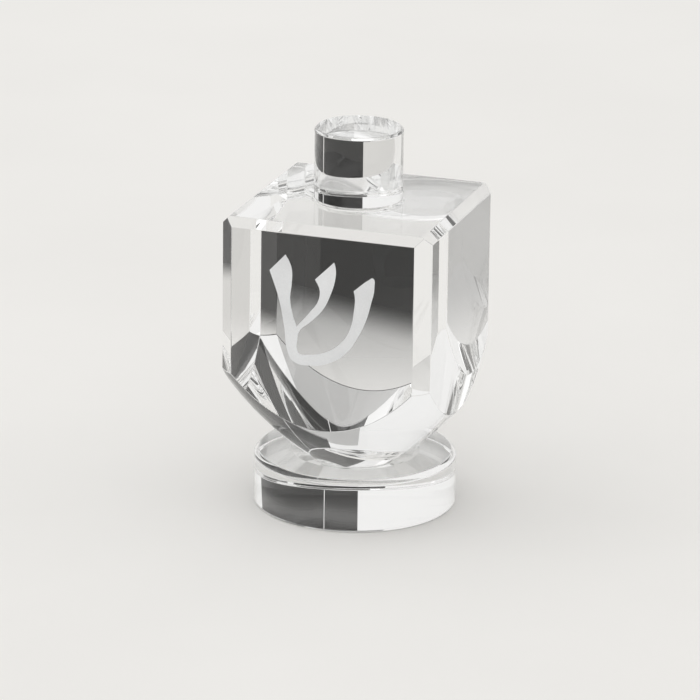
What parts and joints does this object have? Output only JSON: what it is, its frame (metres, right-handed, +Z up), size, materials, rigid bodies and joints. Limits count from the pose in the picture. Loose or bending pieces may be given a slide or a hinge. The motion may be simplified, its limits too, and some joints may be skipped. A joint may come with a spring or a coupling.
{
  "type": "dreidel",
  "caption": "Clear crystal dreidel: a bevelled square block with a turned point and a bonded round handle, resting in the shallow seat of a round crystal stand in which it turns.",
  "frame": {"origin": "centre of the stand's underside, on the table", "axes": "+Z up along the axis that the dreidel turns about, -Y out of the block's front side with the frosted letter, +X to the right of that side"},
  "size_m": [0.05, 0.05, 0.09],
  "materials": {
    "stand_crystal": "cut and polished clear crystal",
    "block_crystal": "cut and polished clear crystal, with a frosted letter on the front side",
    "clear_adhesive": "cured clear adhesive",
    "handle_crystal": "turned and polished clear crystal"
  },
  "bodies": {
    "stand_body": {"stand": "stand_crystal"},
    "dreidel_body": {"block": "block_crystal", "handle_bond": "clear_adhesive", "handle": "handle_crystal"}
  },
  "joints": [
    {"name": "dreidel_spin", "type": "hinge", "parent": "stand_body", "child": "dreidel_body", "pos_m": [0, 0, 0.0113], "axis": [0, 0, 1], "continuous": true}
  ]
}
